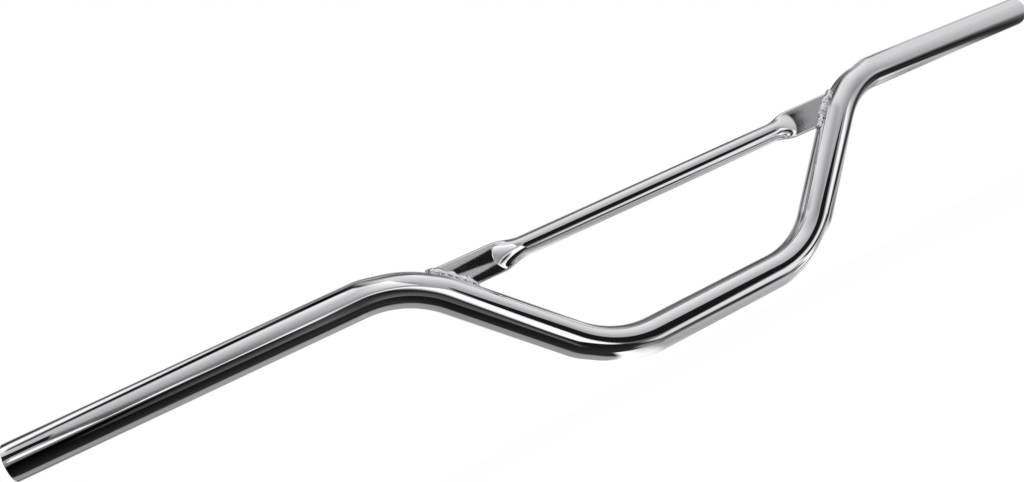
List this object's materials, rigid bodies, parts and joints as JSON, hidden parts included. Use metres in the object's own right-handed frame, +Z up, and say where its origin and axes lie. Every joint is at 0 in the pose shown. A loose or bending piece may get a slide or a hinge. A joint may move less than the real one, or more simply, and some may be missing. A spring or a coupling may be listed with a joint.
{
  "type": "motorcycle handlebar",
  "caption": "Bent handlebar tube with a middle clamp seat, rising legs and swept-back grip ends, stiffened by a straight welded cross brace with flattened ends.",
  "frame": {"origin": "middle of the clamp seat, on the centre line of the bar tube", "axes": "+X along the clamp seat towards the rider's left, +Y back towards the rider, +Z up in the plane of the rising legs"},
  "size_m": [0.7998, 0.0639, 0.1182],
  "materials": {
    "bar_chrome": "polished chrome plate on bent steel tube",
    "brace_chrome": "polished chrome plate on pressed steel tube",
    "weld_chrome": "chrome plate over an unground weld bead"
  },
  "bodies": {
    "root": {"handlebar_tube": "bar_chrome", "cross_brace": "brace_chrome", "weld_left": "weld_chrome", "weld_right": "weld_chrome"}
  },
  "joints": []
}
